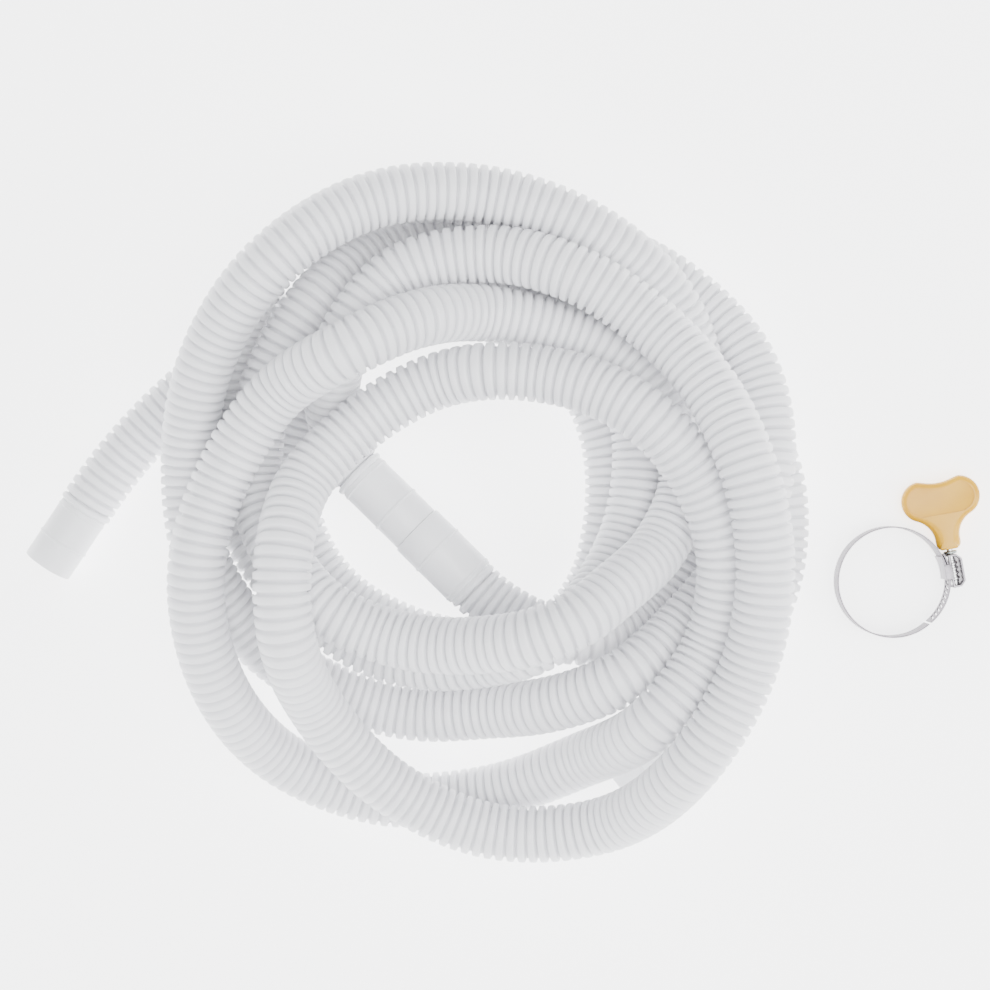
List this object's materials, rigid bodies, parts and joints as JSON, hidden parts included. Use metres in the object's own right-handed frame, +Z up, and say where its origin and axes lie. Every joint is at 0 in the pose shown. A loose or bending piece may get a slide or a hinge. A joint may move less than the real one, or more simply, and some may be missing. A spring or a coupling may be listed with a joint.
{
  "type": "drain hose with key clamp",
  "caption": "Loosely coiled corrugated drain hose with smooth end cuffs and a double cuff at mid-length, with a key-turned worm-drive hose clamp beside it.",
  "frame": {"origin": "middle of the footprint of the coil and the clamp, on the floor", "axes": "+Z is up from the floor; +X runs from the coil to the clamp; +Y points away from the viewer who looks down with the inlet cuff at the left"},
  "size_m": [0.4651, 0.3283, 0.1154],
  "materials": {
    "milky_hose": "semi-translucent milky polyethylene with a soft sheen",
    "stainless": "brushed stainless strip with polished edges",
    "yellow_plastic": "glossy moulded plastic with a finely grained panel"
  },
  "bodies": {
    "hose": {"inlet_cuff": "milky_hose", "hose_lead_in": "milky_hose", "hose_turn_1": "milky_hose", "hose_turn_2": "milky_hose", "hose_turn_3": "milky_hose", "hose_turn_4a": "milky_hose", "wide_middle_cuff": "milky_hose", "narrow_middle_cuff": "milky_hose", "hose_turn_4b": "milky_hose", "hose_turn_5": "milky_hose", "hose_turn_6": "milky_hose", "hose_turn_7": "milky_hose", "hose_lead_out": "milky_hose", "outlet_cuff": "milky_hose"},
    "clamp": {"clamp_saddle": "stainless", "clamp_housing": "stainless", "band_head": "stainless"},
    "key_and_screw": {"worm_screw": "stainless", "screw_washer": "stainless", "key_handle": "yellow_plastic"},
    "band_a": {"band_link_1": "stainless", "band_link_2": "stainless"},
    "band_b": {"band_link_3": "stainless", "band_link_4": "stainless"},
    "band_tail": {"band_slotted_tail": "stainless"}
  },
  "joints": [
    {"name": "lift_clamp", "type": "slide", "parent": "hose", "child": "clamp", "axis": [0, 0, 1], "range_m": [0, 0.15]},
    {"name": "turn_key", "type": "hinge", "parent": "clamp", "child": "key_and_screw", "pos_m": [0.22018, -0.02773, 0.007], "axis": [0.1822, -0.9833, 0], "range_deg": [0, 1440]},
    {"name": "band_bend_1", "type": "hinge", "parent": "clamp", "child": "band_a", "pos_m": [0.19856, -0.00809, 0.007], "axis": [0, 0, 1], "range_deg": [0, 6.85]},
    {"name": "band_bend_2", "type": "hinge", "parent": "band_a", "child": "band_b", "pos_m": [0.1632, -0.03829, 0.007], "axis": [0, 0, 1], "range_deg": [0, 6.85]},
    {"name": "band_bend_3", "type": "hinge", "parent": "band_b", "child": "band_tail", "pos_m": [0.20704, -0.05382, 0.007], "axis": [0, 0, 1], "range_deg": [0, 6.85]}
  ],
  "couplings": [
    {"joint": "band_bend_1", "follows": "turn_key", "ratio": 0.004742},
    {"joint": "band_bend_2", "follows": "turn_key", "ratio": 0.004742},
    {"joint": "band_bend_3", "follows": "turn_key", "ratio": 0.004742}
  ]
}
